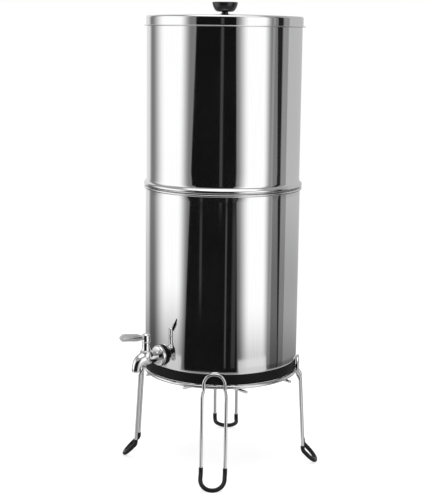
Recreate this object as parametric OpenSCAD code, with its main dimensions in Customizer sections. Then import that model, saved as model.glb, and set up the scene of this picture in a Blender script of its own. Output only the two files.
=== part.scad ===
// Gravity water filter: two stacked steel chambers with a lid and a tap, on a wire stand.
// Millimetres, +Z up. The floor is z = 0, the chambers' axis is x = y = 0, and the tap points along -Y.

/* [Chambers] */
// Outer diameter of the lower chamber
lower_d = 216; // [180:1:260]
// Height of the lower chamber, from its bottom to the top of its rolled rim
lower_h = 248; // [200:1:300]
// Height of the upper chamber, from the middle of its bead to its brim
upper_h = 228.9; // [200:0.1:280]
// Depth of the upper chamber below the middle of its bead, which nests in the lower one
nest_depth = 16; // [12:0.5:24]
// Thickness of the chambers' sheet steel
sheet_t = 0.8; // [0.6:0.1:1.2]
// Outer radius where a chamber's wall turns into its floor
corner_r = 5; // [3:0.5:7]
// Gap between a chamber's wall and what slides over it or into it
nest_gap = 0.3; // [0.2:0.05:0.6]
// Outer radius of the lower chamber's rolled rim
rim_roll_r = 1.7; // [1.4:0.1:2.4]
// Outer radius of the upper chamber's rolled brim, which the lid's shoulder follows
brim_roll_r = 2; // [1.4:0.1:2.6]
// Outer radius of the half-round bead on which the upper chamber sits
bead_r = 3.4; // [3.2:0.1:5]
// How far the bead stands out of the upper chamber's wall
bead_proud = 3.7; // [3:0.1:4.2]
// Radius of the hollow curve between the bead and the wall above it
bead_fillet_r = 6; // [4:0.5:9]
// Height of the raised middle of the lower chamber's floor
floor_rise = 3; // [2:0.5:4]

/* [Lid] */
// Height of the lid's wall, from the foot of its flange to its shoulder
lid_h = 14; // [12:0.5:20]
// Thickness of the lid's sheet steel
lid_t = 0.7; // [0.5:0.1:1]
// Rise of the lid's crown at its middle
lid_crown = 2.3; // [1.5:0.1:5]
// Width of the flat flange round the lid's foot
lid_flange_w = 3.2; // [2:0.1:5]
// Diameter of the knob at its top
knob_d = 35.4; // [28:0.2:44]
// Diameter of the knob at its underside
knob_foot_d = 23.8; // [18:0.2:28]
// Height of the knob above its neck
knob_h = 13.2; // [10:0.2:18]
// Diameter of the knob's neck
knob_neck_d = 9; // [8:0.2:12]
// Height of the knob's neck
knob_neck_h = 3.4; // [2:0.2:6]
// Thread diameter of the screw that holds the knob
knob_screw_d = 5; // [4:0.5:6]

/* [Filter elements] */
// Distance between opposite holes in the upper chamber's floor
hole_spacing = 96; // [90:1:110]
// Diameter of a filter block
block_d = 56; // [46:1:58]
// Height of a filter block
block_h = 212; // [120:1:212]
// Thread diameter of a filter element's stem, and of a blanking plug
stem_d = 10; // [8:0.5:12]
// Length of a stem below the element's base cap
stem_l = 28; // [24:1:34]
// Thickness of the washer under a filter element
element_washer_t = 2.5; // [1.5:0.5:4]

/* [Base ring] */
// Height from the stand to the bottom of the lower chamber
base_ring_h = 12.4; // [10:0.2:18]
// Width of the base ring's foot
base_ring_w = 9; // [7:0.5:12]

/* [Tap] */
// Height of the tap's axis above the bottom of the lower chamber
tap_height = 19.5; // [19:0.5:40]
// Distance from the chamber's wall to the axis of the tap's valve
valve_reach = 27; // [25:0.5:34]
// Radius of the bend in the spout
spout_bend_r = 13; // [11:0.5:18]
// Length of the straight mouth below the bend
mouth_l = 3.4; // [3:0.2:10]
// Outer diameter of the spout at its mouth
mouth_d = 12.4; // [11.6:0.2:15]
// Diameter of the water way
bore_d = 8.4; // [6:0.2:9]
// Outer diameter of the tap's body at the valve
valve_body_d = 18.2; // [17:0.2:22]
// Thread diameter of the shank
shank_d = 14.5; // [12:0.1:17.5]
// How much wider than the shank the tap's body is where it meets the flange
hub_margin = 1.9; // [1:0.1:4]
// Diameter of the tap's round flange
flange_d = 28.4; // [26:0.2:34]
// Thickness of the tap's round flange
flange_t = 5.7; // [4:0.1:8]
// Diameter of the valve plug
plug_d = 12; // [11:0.2:13]
// Diameter of the valve's stem
valve_stem_d = 7.4; // [7:0.1:8]
// Diameter of the bonnet's neck, and of the cap above it
neck_d = 10.8; // [10.6:0.2:13]
// Height of the cap, with its domed top
cap_h = 13; // [11:0.5:16]
// Length of the lever, from the valve's axis to its tip
lever_l = 45.5; // [36:0.5:60]
// Height of the lever's blade
lever_h = 10.2; // [8:0.2:13]
// Thickness of the lever's blade
lever_t = 3.4; // [2.6:0.2:4.5]
// Upward tilt of the lever, in degrees
lever_tilt = 8.5; // [0:0.5:12]

/* [Stand] */
// Height of the stand, from the floor to the top of its ring
stand_h = 140; // [110:1:180]
// Wire diameter of the ring
ring_wire_d = 5; // [4:0.5:6]
// Wire diameter of the legs
leg_wire_d = 4.5; // [4:0.5:6]
// Wire diameter of the crossing wires
cross_wire_d = 4; // [3:0.5:5]
// Distance between the two wires of a crossing pair
cross_spacing = 82; // [60:1:110]
// Width of a leg's arch, between wire centres
arch_w = 29; // [24:1:36]
// Width of a leg below its arch, between wire centres
leg_w = 33; // [28:1:42]
// Height of the arch's top above the middle of the ring
arch_rise = 18.5; // [16:0.5:26]
// How far a leg leans out between its arch and its foot
leg_splay = 6.3; // [2:0.1:16]
// How far a foot reaches out beyond its leg, at 45 degrees
foot_reach = 18.4; // [14:0.2:26]
// Outer diameter of the sleeves on the feet
sleeve_d = 6; // [5.5:0.1:8]
// How far a sleeve runs up the leg above the bend of the foot
sleeve_run = 3; // [1:0.5:30]

/* [Hidden] */

$fn = 96;
eps = 0.5;          // overshoot of a cut past the face that it opens
seat_gap = 0.3;     // what rests on another piece and lifts off it stays this far above it
running_gap = 0.05; // radial gap of a shaft in its bore, or a screw in its thread

steel = "gainsboro";
bright = "silver";
black = "#1c1c1c";
rubber = "#262626";
carbon = "#3a3a3c";

// Stand: levels and radii, from the floor up
ring_r = ring_wire_d / 2;
leg_r = leg_wire_d / 2;
cross_r = cross_wire_d / 2;
sleeve_r = sleeve_d / 2;
weld_sink = 0.4;                  // how far two welded wires run into each other
cross_sink = 0.8;
lower_r = lower_d / 2;
ring_z = stand_h - ring_r;
arch_half = arch_w / 2;
leg_half = leg_w / 2;
arch_plane_r = lower_r + seat_gap + leg_r;
ring_line_r = norm([arch_plane_r - leg_r - ring_r + weld_sink, arch_half]);
arch_top_z = ring_z + arch_rise;
kink_top_z = ring_z - 4;          // the leg turns outwards just under the ring
kink_h = 6.5;
kink_out = 4.4;
kink_bend_r = 8;
crest_half = 0.5;                 // half of the short straight at the top of an arch or a foot
bend_thinner = 0.02;
leg_top_r = arch_plane_r + kink_out;
sole_flat = 0.4;                  // depth to which a sleeve is pressed flat on the floor
tip_z = sleeve_r - sole_flat;
ankle_z = tip_z + foot_reach;
sleeve_top_z = ankle_z + kink_bend_r / 2 + sleeve_run;
ankle_r = leg_top_r + leg_splay;
tip_r = ankle_r + foot_reach;
cross_end = 3.5;                  // a crossing wire's end stands this far out of the ring's middle
upper_wire_z = ring_z - ring_r - cross_r + weld_sink;
lower_wire_z = upper_wire_z - 2 * cross_r + cross_sink;

// Lower chamber and base ring
base_z = stand_h + seat_gap;
lower_z = base_z + base_ring_h;
rim_z = lower_z + lower_h;
rim_roll_line_r = lower_r - sheet_t + rim_roll_r;
rim_roll_z = rim_z - rim_roll_r;
rise_r = lower_r - 14;            // radius of the raised middle of the floor
base_ring_r = lower_r - 0.2;
base_lip_h = 1.5;                 // the base ring's lip stands this far above the chamber's bottom
base_upstand_w = 4;

// Upper chamber
upper_r = lower_r - sheet_t - nest_gap;
bead_line_r = upper_r + bead_proud - bead_r;
bead_z = rim_roll_z + sqrt(pow(bead_r + rim_roll_r + seat_gap, 2) - pow(rim_roll_line_r - bead_line_r, 2));
fillet_line_r = upper_r + bead_fillet_r;
fillet_z = bead_z + sqrt(pow(bead_r + bead_fillet_r, 2) - pow(fillet_line_r - bead_line_r, 2));
upper_z = bead_z - nest_depth;
brim_z = bead_z + upper_h;
brim_roll_line_r = upper_r - brim_roll_r;

// Lid: its shoulder rests on the brim's roll and is rounded about the same line
lid_shoulder_r = brim_roll_r + nest_gap + lid_t;
lid_r = upper_r + nest_gap + lid_t;
shoulder_line_r = lid_r - lid_shoulder_r;
shoulder_line_z = brim_z + seat_gap - brim_roll_r - nest_gap;
lid_top_z = shoulder_line_z + lid_shoulder_r;
lid_foot_z = lid_top_z - lid_h;
crown_r = (pow(shoulder_line_r, 2) + pow(lid_crown, 2)) / (2 * lid_crown);
crown_line_z = lid_top_z + lid_crown - crown_r;
crown_z = lid_top_z + lid_crown;

// Knob and its screw
knob_z = crown_z + knob_neck_h;
knob_collar_d = knob_neck_d + 3.4;
knob_collar_h = 0.9;
knob_edge_r = 1.1;
knob_dish = 0.7;
knob_bulge_r = 22;                // radius of the knob's rounded side
knob_washer_d = 14;
knob_washer_t = 1;
screw_head_d = 9.4;
screw_head_h = 3.2;
screw_bite = 8;                   // length of the screw inside the knob
under_crown_z = crown_line_z + sqrt(pow(crown_r - lid_t, 2) - pow(knob_washer_d / 2, 2));

// Filter elements
hole_r = stem_d / 2 + 0.4;
stem_r = stem_d / 2;
floor_top_z = upper_z + sheet_t;
cap_wall = 1.2;
cap_floor_t = 4;
cap_depth = 8;
cap_r = block_d / 2 + running_gap + cap_wall;
element_z = floor_top_z + element_washer_t;
element_boss_h = 2;
block_z = element_z + element_boss_h + cap_floor_t;
core_r = 8;
core_roof = 12;
washer_r = stem_r + 9;
element_boss_r = washer_r - 1;
stem_bore_r = stem_d / 4;
nut_flange_r = stem_r + 5.5;
nut_flange_t = 1.6;
nut_hub_r = stem_r + 3;
nut_hub_h = 9;
wing_span = nut_hub_r + 11;       // from the nut's axis to the tip of a wing
wing_t = 3;
plug_head_r = stem_r + 7;
plug_head_h = 5;
plug_washer_r = plug_head_r + 1;
plug_washer_t = 2;
plug_l = 19;
plug_nut_af = stem_d + 7;
plug_nut_h = 7;

// Tap: its axis is horizontal, and u counts outwards from the chambers' axis
tap_z = lower_z + tap_height;
outer_washer_t = 2.6;
inner_washer_t = 3.2;
flange_u = lower_r + outer_washer_t;
hub_u = flange_u + flange_t;
valve_u = lower_r + valve_reach;
bend_u = valve_u + 3.5;
mouth_u = bend_u + spout_bend_r;
mouth_z = tap_z - spout_bend_r - mouth_l;
bore_r = bore_d / 2;
shank_r = shank_d / 2;
hub_d = shank_d + hub_margin;
tap_hole_r = shank_r + 0.3;
flange_r = flange_d / 2;
flange_edge_r = min(2.8, flange_t / 2);
inner_washer_r = shank_r + 5.2;
nut_u = lower_r - sheet_t - inner_washer_t;
tap_nut_af = shank_d + 8;
tap_nut_h = 6.5;
shank_end_u = nut_u - tap_nut_h - 3;

// Valve, bonnet and cap, above the tap's axis
plug_r = plug_d / 2;
port_d = 7.4;
plug_bottom_z = tap_z - bore_r - 1.8;
plug_top_z = tap_z + bore_r + 1;
boss_r = plug_r + 2;
boss_z = tap_z + valve_body_d / 2;
bonnet_thread_r = plug_r + 0.4;
bonnet_foot_r = plug_r + 1;
bonnet_foot_h = 1.4;
bonnet_flare_r = 1.7;
neck_r = neck_d / 2;
neck_top_z = boss_z + 12.9;
stem_shaft_r = valve_stem_d / 2;
seal_r = 0.72;
seal_line_r = stem_shaft_r - 0.74;
groove_root_r = seal_line_r - seal_r - 0.03;
groove_w = 2;
seal_levels = [neck_top_z - 4, neck_top_z - 8];
cap_z = neck_top_z + seat_gap;
cap_top_z = cap_z + cap_h;
drive_w = 0.67 * valve_stem_d;    // across the flats of the square on top of the stem
drive_top_z = cap_z + 8.5;
lever_z = cap_z + 6.3;            // where the lever's middle line meets the valve's axis
lever_root = 4.2;
lever_waist_h = 5;
lever_shoulder = 12;              // from the lever's root to its full height
lever_point = 5.5;                // length of the lever's pointed end
lever_bevel = 0.9;
set_screw_r = 1.5;
set_screw_z = cap_z + 4;

// ---- helpers ----

function unit(v) = v / norm(v);
function way_in(p, i) = unit(p[i] - p[(i + len(p) - 1) % len(p)]);
function way_out(p, i) = unit(p[(i + 1) % len(p)] - p[i]);
function turn_at(p, i) = acos(way_in(p, i) * way_out(p, i));
// Length that a bend takes from the straight on each side of its corner
function bend_reach(p, radii, i) = radii[i] == 0 ? 0 : radii[i] * tan(turn_at(p, i) / 2);

// A straight round rod between two points
module rod(a, b, r) {
    v = b - a;
    translate(a) rotate([0, acos(v.z / norm(v)), atan2(v.y, v.x)]) cylinder(r = r, h = norm(v));
}

// The torus piece that rounds corner i of a path. It runs a little way into the straights and is a
// hair thinner, so that the pieces join without faces that nearly coincide.
module bend(p, radii, i, r) {
    along = way_in(p, i);
    next = way_out(p, i);
    inward = unit(next - along * (along * next));
    centre = p[i] - along * bend_reach(p, radii, i) + inward * radii[i];
    side = cross(-inward, along);
    lap = 0.3 / radii[i] * 180 / PI;
    multmatrix([[-inward.x, along.x, side.x, centre.x],
                [-inward.y, along.y, side.y, centre.y],
                [-inward.z, along.z, side.z, centre.z],
                [0, 0, 0, 1]])
        rotate([0, 0, -lap]) rotate_extrude(angle = turn_at(p, i) + 2 * lap)
            translate([radii[i], 0]) circle(r = r - bend_thinner);
}

// A wire bent along a path, with one bend radius for each corner. On an open path the first and last
// radius are 0; a closed path runs on from its last point to its first.
module bent_wire(p, radii, r, closed = false) {
    n = len(p);
    for (i = [0 : n - (closed ? 1 : 2)]) {
        j = (i + 1) % n;
        rod(p[i] + way_out(p, i) * bend_reach(p, radii, i), p[j] - way_out(p, i) * bend_reach(p, radii, j), r);
    }
    for (i = [0 : n - 1]) if (radii[i] > 0) bend(p, radii, i, r);
}

// Half section of a pot from its axis, with a rounded corner at its floor
module pot_section(r, z0, z1, corner) {
    translate([0, z0 + corner]) square([r, z1 - z0 - corner]);
    translate([0, z0]) square([r - corner, corner + eps]);
    translate([r - corner, z0 + corner]) circle(r = corner);
}

// Half section of a rolled edge: a tube of sheet, open in the quarter where its free edge comes back
// to the wall that carries it
module roll_section(r, sheet, open_x, open_z) {
    difference() {
        circle(r = r);
        circle(r = r - sheet);
        translate([open_x < 0 ? -r - eps : 0, open_z < 0 ? -r - eps : 0]) square(r + eps);
    }
}

// A round bar on the tap's axis, between two distances from the chambers' axis
module on_tap_axis(u0, u1, r) {
    translate([0, -u0, tap_z]) rotate([90, 0, 0]) cylinder(r = r, h = u1 - u0);
}

// Moves to the valve's vertical axis
module at_valve(z) {
    translate([0, -valve_u, z]) children();
}

module hex_prism(af, h) {
    cylinder(d = af / cos(30), h = h, $fn = 6);
}

// ---- lid ----

// Half section of the lid's outer form, drawn in by the sheet's thickness for its inner form
module lid_form(inset) {
    bottom = inset > 0 ? lid_foot_z - eps : lid_foot_z;
    translate([0, bottom]) square([lid_r - inset, shoulder_line_z - bottom]);
    translate([0, shoulder_line_z - eps]) square([shoulder_line_r, lid_shoulder_r - inset + eps]);
    translate([shoulder_line_r, shoulder_line_z]) circle(r = lid_shoulder_r - inset);
    intersection() {
        translate([0, crown_line_z]) circle(r = crown_r - inset, $fn = 1440);
        translate([0, shoulder_line_z]) square([shoulder_line_r, 2 * lid_crown + lid_shoulder_r]);
    }
}

module lid_shell() {
    color(steel) difference() {
        rotate_extrude() {
            difference() {
                lid_form(0);
                lid_form(lid_t);
            }
            translate([lid_r - lid_t, lid_foot_z]) square([lid_t + lid_flange_w, lid_t]);
        }
        translate([0, 0, lid_top_z - eps])
            cylinder(d = knob_screw_d + 0.4, h = lid_crown + 2 * eps);
    }
}

// Centre of the arc that rounds the knob's side, through its foot and its upper edge
knob_foot = [knob_foot_d / 2, 0];
knob_brow = [knob_d / 2, knob_h - knob_edge_r];
knob_chord = knob_brow - knob_foot;
knob_arc_centre = (knob_foot + knob_brow) / 2
    + unit([-knob_chord.y, knob_chord.x]) * sqrt(pow(knob_bulge_r, 2) - pow(norm(knob_chord) / 2, 2));
dish_r = (pow(knob_d / 2 - 2, 2) + pow(knob_dish, 2)) / (2 * knob_dish);

module lid_knob() {
    color(black) difference() {
        translate([0, 0, knob_z]) rotate_extrude() {
            difference() {
                intersection() {
                    square([knob_d / 2, knob_h]);
                    translate(knob_arc_centre) circle(r = knob_bulge_r, $fn = 180);
                }
                translate([0, knob_h + dish_r - knob_dish]) circle(r = dish_r, $fn = 720);
            }
            translate([0, -knob_neck_h]) square([knob_neck_d / 2, knob_neck_h + eps]);
            translate([0, -knob_neck_h]) square([knob_collar_d / 2, knob_collar_h]);
        }
        translate([0, 0, crown_z - eps])
            cylinder(d = knob_screw_d + 2 * running_gap, h = screw_bite + 1 + eps);
    }
}

module knob_washer() {
    color(rubber) translate([0, 0, under_crown_z - knob_washer_t]) difference() {
        cylinder(d = knob_washer_d, h = knob_washer_t);
        translate([0, 0, -eps])
            cylinder(d = knob_screw_d + 0.2, h = knob_washer_t + 2 * eps);
    }
}

module knob_screw() {
    head_top_z = under_crown_z - knob_washer_t;
    color(bright) difference() {
        union() {
            translate([0, 0, head_top_z])
                cylinder(d = knob_screw_d, h = crown_z + screw_bite - head_top_z);
            translate([0, 0, head_top_z - screw_head_h]) rotate_extrude() intersection() {
                square([screw_head_d / 2, screw_head_h]);
                translate([0, 5.4]) circle(r = 5.4);
            }
        }
        for (a = [0, 90]) rotate([0, 0, a])
            translate([-2.4, -0.5, head_top_z - screw_head_h - eps]) cube([4.8, 1, 1.6 + eps]);
    }
}

// ---- upper chamber and filter elements ----

// Half section of the upper chamber's outer form, drawn in by the sheet's thickness for its inner form
module upper_form(inset) {
    top = brim_z - brim_roll_r + (inset > 0 ? eps : 0);
    pot_section(upper_r - inset, upper_z + inset, top, corner_r - inset);
    translate([bead_line_r, bead_z]) circle(r = bead_r - inset);
    difference() {
        polygon([[bead_line_r, bead_z], [fillet_line_r, fillet_z],
                 [upper_r - inset - eps, fillet_z], [upper_r - inset - eps, bead_z]]);
        translate([fillet_line_r, fillet_z]) circle(r = bead_fillet_r + inset);
    }
}

module upper_chamber() {
    color(steel) difference() {
        rotate_extrude() {
            difference() {
                upper_form(0);
                upper_form(sheet_t);
            }
            translate([brim_roll_line_r, brim_z - brim_roll_r]) roll_section(brim_roll_r, sheet_t, 1, -1);
        }
        for (a = [0 : 90 : 270]) rotate([0, 0, a])
            translate([hole_spacing / 2, 0, upper_z - eps]) cylinder(r = hole_r, h = sheet_t + 2 * eps);
    }
}

// Where the element on one side stands: -1 is left, 1 is right
module at_element(side, z) {
    translate([side * hole_spacing / 2, 0, z]) children();
}

module filter_base(side) {
    color(black) at_element(side, element_z) difference() {
        union() {
            cylinder(r = element_boss_r, h = element_boss_h + eps);
            translate([0, 0, element_boss_h]) cylinder(r = cap_r, h = cap_floor_t + cap_depth);
            translate([0, 0, -stem_l]) cylinder(r = stem_r, h = stem_l + eps);
        }
        translate([0, 0, element_boss_h + cap_floor_t])
            cylinder(r = cap_r - cap_wall, h = cap_depth + eps);
        translate([0, 0, -stem_l - eps])
            cylinder(r = stem_bore_r, h = stem_l + element_boss_h + cap_floor_t + 2 * eps);
    }
}

module filter_block(side) {
    color(carbon) at_element(side, block_z) difference() {
        cylinder(d = block_d, h = block_h);
        translate([0, 0, -eps]) cylinder(r = core_r, h = block_h - core_roof + eps);
    }
}

module filter_top(side) {
    color(black) at_element(side, block_z + block_h) difference() {
        translate([0, 0, -cap_depth]) rotate_extrude() {
            square([cap_r, cap_depth + cap_floor_t - 1.5]);
            square([cap_r - 1.5, cap_depth + cap_floor_t]);
            translate([cap_r - 1.5, cap_depth + cap_floor_t - 1.5]) circle(r = 1.5);
        }
        translate([0, 0, -cap_depth - eps]) cylinder(r = cap_r - cap_wall, h = cap_depth + eps);
    }
}

module element_washers() {
    color(rubber) for (side = [-1, 1]) at_element(side, floor_top_z) difference() {
        cylinder(r = washer_r, h = element_washer_t);
        translate([0, 0, -eps]) cylinder(r = stem_r + running_gap, h = element_washer_t + 2 * eps);
    }
}

module wing() {
    rotate([90, 0, 0]) linear_extrude(wing_t, center = true) hull() {
        translate([nut_hub_r - 1, -4]) circle(r = 3.2, $fn = 32);
        translate([wing_span - 3.6, -9]) circle(r = 3.6, $fn = 32);
    }
}

module wing_nuts() {
    color(bright) for (side = [-1, 1]) at_element(side, upper_z) difference() {
        union() {
            translate([0, 0, -nut_flange_t]) cylinder(r = nut_flange_r, h = nut_flange_t);
            translate([0, 0, -nut_hub_h]) cylinder(r = nut_hub_r, h = nut_hub_h);
            for (a = [0, 180]) rotate([0, 0, a]) wing();
        }
        translate([0, 0, -nut_hub_h - 5])
            cylinder(r = stem_r + running_gap, h = nut_hub_h + 5 + eps);
        translate([-wing_span - 5, -nut_flange_r - 5, 0]) cube([2 * wing_span + 10, 2 * nut_flange_r + 10, 8]);
    }
}

// Where a blanking plug stands: -1 is the tap's side, 1 is the back
module at_plug(side, z) {
    translate([0, side * hole_spacing / 2, z]) children();
}

module blanking_plugs() {
    color(black) for (side = [-1, 1]) at_plug(side, floor_top_z + plug_washer_t) {
        rotate_extrude() {
            square([plug_head_r, plug_head_h - 1.5]);
            square([plug_head_r - 1.5, plug_head_h]);
            translate([plug_head_r - 1.5, plug_head_h - 1.5]) circle(r = 1.5);
        }
        translate([0, 0, -plug_l]) cylinder(r = stem_r, h = plug_l + eps);
    }
}

module plug_washers() {
    color(rubber) for (side = [-1, 1]) at_plug(side, floor_top_z) difference() {
        cylinder(r = plug_washer_r, h = plug_washer_t);
        translate([0, 0, -eps]) cylinder(r = stem_r + running_gap, h = plug_washer_t + 2 * eps);
    }
}

module plug_nuts() {
    color(bright) for (side = [-1, 1]) at_plug(side, upper_z - plug_nut_h) difference() {
        hex_prism(plug_nut_af, plug_nut_h);
        translate([0, 0, -eps]) cylinder(r = stem_r + running_gap, h = plug_nut_h + 2 * eps);
    }
}

// ---- lower chamber and base ring ----

// Half section of the lower chamber's outer form, drawn in by the sheet's thickness for its inner form
module lower_form(inset) {
    difference() {
        pot_section(lower_r - inset, lower_z + inset, rim_roll_z + (inset > 0 ? eps : 0), corner_r - inset);
        translate([-eps, lower_z - eps]) square([rise_r + inset + eps, floor_rise + inset + eps]);
    }
}

module lower_chamber() {
    color(steel) difference() {
        rotate_extrude() {
            difference() {
                lower_form(0);
                lower_form(sheet_t);
            }
            translate([rim_roll_line_r, rim_roll_z]) roll_section(rim_roll_r, sheet_t, -1, -1);
        }
        on_tap_axis(lower_r - sheet_t - 4, lower_r + 4, tap_hole_r);
    }
}

module base_ring() {
    color(rubber) rotate_extrude() {
        difference() {
            translate([base_ring_r - base_ring_w, base_z]) square([base_ring_w, base_ring_h + base_lip_h]);
            pot_section(lower_r + running_gap, lower_z, rim_z, corner_r + running_gap);
        }
        translate([rise_r - seat_gap - base_upstand_w, base_z])
            square([base_ring_r - base_ring_w - rise_r + seat_gap + base_upstand_w + eps, base_ring_h]);
        translate([rise_r - seat_gap - base_upstand_w, base_z])
            square([base_upstand_w, base_ring_h + floor_rise - seat_gap]);
    }
}

// ---- tap ----

// The outer form of the tap's body: round sections strung along a line that runs out and bends down
hub_steps = 4;
bend_steps = 12;
form_sides = 36;
hub_stations = [for (i = [0 : hub_steps]) hub_u + (bend_u - hub_u) * i / hub_steps];
bend_stations = [for (i = [1 : bend_steps]) 90 * i / bend_steps];
// Smooth step from 0 to 1
function ease(t) = t * t * (3 - 2 * t);
function hub_radius(u) = (hub_d + (valve_body_d - hub_d) * ease((u - hub_u) / (bend_u - hub_u))) / 2;
function bend_radius(a) = (valve_body_d + (mouth_d - valve_body_d) * ease(a / 90)) / 2;
// One round section: a centre, the angle at which the line slopes down, and a radius
function form_ring(u, z, slope, r) = [for (k = [0 : form_sides - 1]) let (a = 360 * k / form_sides)
    [r * cos(a), -u - r * sin(a) * sin(slope), z + r * sin(a) * cos(slope)]];
form_rings = concat(
    [for (u = hub_stations) form_ring(u, tap_z, 0, hub_radius(u))],
    [for (a = bend_stations) form_ring(bend_u + spout_bend_r * sin(a),
        tap_z - spout_bend_r * (1 - cos(a)), a, bend_radius(a))],
    [form_ring(mouth_u, mouth_z, 90, mouth_d / 2)]);

module spout_form() {
    last = len(form_rings) - 1;
    points = [for (ring = form_rings) each ring];
    sides = [for (j = [0 : last - 1]) for (k = [0 : form_sides - 1])
        let (a = j * form_sides + k, b = j * form_sides + (k + 1) % form_sides)
        each [[a, a + form_sides, b + form_sides], [a, b + form_sides, b]]];
    start = [for (k = [0 : form_sides - 1]) k];
    end = [for (k = [form_sides - 1 : -1 : 0]) last * form_sides + k];
    polyhedron(points = points, faces = concat(sides, [start, end]), convexity = 6);
}

module tap_body() {
    color(bright) difference() {
        union() {
            spout_form();
            on_tap_axis(shank_end_u, hub_u + 2, shank_r);
            at_valve(tap_z) cylinder(r = boss_r, h = boss_z - tap_z);
        }
        // Water way: in through the shank, through the valve, and round the bend to the mouth
        bent_wire([[0, -(shank_end_u - eps), tap_z], [0, -mouth_u, tap_z], [0, -mouth_u, mouth_z - eps]],
                  [0, spout_bend_r, 0], bore_r);
        at_valve(plug_bottom_z - seat_gap)
            cylinder(r = plug_r + running_gap, h = boss_z - plug_bottom_z + 2 * eps);
        at_valve(plug_top_z) cylinder(r = bonnet_thread_r + running_gap, h = boss_z - plug_top_z + eps);
    }
}

module tap_flange() {
    color(bright) translate([0, -flange_u, tap_z]) rotate([90, 0, 0]) difference() {
        rotate_extrude() {
            square([flange_r, flange_t - flange_edge_r]);
            square([flange_r - flange_edge_r, flange_t]);
            translate([flange_r - flange_edge_r, flange_t - flange_edge_r]) circle(r = flange_edge_r);
        }
        translate([0, 0, -eps]) cylinder(r = shank_r + running_gap, h = flange_t + 2 * eps);
    }
}

// The washers are pressed to the curve of the chamber's wall
module tap_outer_washer() {
    color(rubber) difference() {
        on_tap_axis(lower_r - 3, flange_u, flange_r + 0.3);
        on_tap_axis(lower_r - 3 - eps, flange_u + eps, shank_r + running_gap);
        translate([0, 0, lower_z]) cylinder(r = lower_r, h = lower_h, $fn = 180);
    }
}

module tap_inner_washer() {
    color(rubber) difference() {
        intersection() {
            on_tap_axis(nut_u, lower_r, inner_washer_r);
            translate([0, 0, lower_z]) cylinder(r = lower_r - sheet_t, h = lower_h, $fn = 180);
        }
        on_tap_axis(nut_u - eps, lower_r + eps, shank_r + running_gap);
    }
}

module tap_nut() {
    color(bright) difference() {
        translate([0, -nut_u, tap_z]) rotate([-90, 0, 0]) hex_prism(tap_nut_af, tap_nut_h);
        on_tap_axis(nut_u - tap_nut_h - eps, nut_u + eps, shank_r + running_gap);
    }
}

module tap_bonnet() {
    flare_z = boss_z + bonnet_foot_h;
    color(bright) at_valve(0) difference() {
        union() {
            translate([0, 0, plug_top_z + seat_gap])
                cylinder(r = bonnet_thread_r, h = boss_z - plug_top_z);
            translate([0, 0, boss_z]) cylinder(r = bonnet_foot_r, h = bonnet_foot_h);
            translate([0, 0, boss_z]) cylinder(r = neck_r, h = neck_top_z - boss_z);
            // Hollow curve between the neck and its foot
            translate([0, 0, flare_z]) rotate_extrude() difference() {
                square([neck_r + bonnet_flare_r, bonnet_flare_r]);
                translate([neck_r + bonnet_flare_r, bonnet_flare_r]) circle(r = bonnet_flare_r);
            }
        }
        translate([0, 0, plug_top_z])
            cylinder(r = stem_shaft_r + running_gap, h = neck_top_z - plug_top_z + eps);
    }
}

// ---- valve and lever: these turn together about the valve's axis ----

module valve_plug() {
    color(bright) difference() {
        at_valve(0) union() {
            translate([0, 0, plug_bottom_z]) cylinder(r = plug_r, h = plug_top_z - plug_bottom_z);
            translate([0, 0, plug_bottom_z]) cylinder(r = stem_shaft_r, h = cap_z - plug_bottom_z);
            translate([-drive_w / 2, -drive_w / 2, neck_top_z - 1])
                cube([drive_w, drive_w, drive_top_z - neck_top_z + 1]);
        }
        // At rest the port lies across the water way, so the tap is shut
        translate([-plug_r - eps, -valve_u, tap_z]) rotate([0, 90, 0]) cylinder(d = port_d, h = plug_d + 2 * eps);
        for (z = seal_levels) at_valve(z - groove_w / 2) rotate_extrude()
            translate([groove_root_r, 0]) square([stem_shaft_r, groove_w]);
    }
}

module stem_seals() {
    color(rubber) for (z = seal_levels) at_valve(z) rotate_extrude()
        translate([seal_line_r, 0]) circle(r = seal_r);
}

module lever_cap() {
    dome_r = (pow(neck_r, 2) + 9) / 6;   // a dome 3 mm high
    color(bright) difference() {
        at_valve(0) rotate_extrude() intersection() {
            translate([0, cap_z]) square([neck_r, cap_h]);
            translate([0, cap_top_z - dome_r]) union() {
                circle(r = dome_r);
                translate([0, -cap_h]) square([neck_r, cap_h + dome_r - 3]);
            }
        }
        at_valve(cap_z - eps) translate([-drive_w / 2 - running_gap, -drive_w / 2 - running_gap, 0])
            cube([drive_w + 2 * running_gap, drive_w + 2 * running_gap, drive_top_z - cap_z + eps + 0.2]);
        at_valve(set_screw_z) rotate([-90, 0, 0]) cylinder(r = set_screw_r + running_gap, h = neck_r + eps);
        lever_blade(running_gap);
    }
}

// Outline of the lever's side, from its narrow root to its pointed end
function lever_outline(grow) = [
    [0, -lever_waist_h / 2 - grow], [lever_shoulder, -lever_h / 2 - grow],
    [lever_l - lever_root - lever_point, -lever_h / 2 - grow], [lever_l - lever_root + grow, 0],
    [lever_l - lever_root - lever_point, lever_h / 2 + grow], [lever_shoulder, lever_h / 2 + grow],
    [0, lever_waist_h / 2 + grow]];

// The blade with bevelled edges; grow makes the pocket for its root a little larger
module lever_blade(grow) {
    translate([0, -valve_u, lever_z]) rotate([-lever_tilt, 0, 0]) translate([0, -lever_root + grow, 0])
        rotate([90, 0, -90]) hull() {
            linear_extrude(lever_t - 2 * lever_bevel + 2 * grow, center = true)
                polygon(lever_outline(grow));
            linear_extrude(lever_t + 2 * grow, center = true)
                polygon([for (p = lever_outline(grow)) [p.x, p.y] + [0, -sign(p.y) * lever_bevel]
                    - [p.y == 0 ? lever_bevel : 0, 0]]);
        }
}

module tap_lever() {
    color(bright) lever_blade(0);
}

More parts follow.
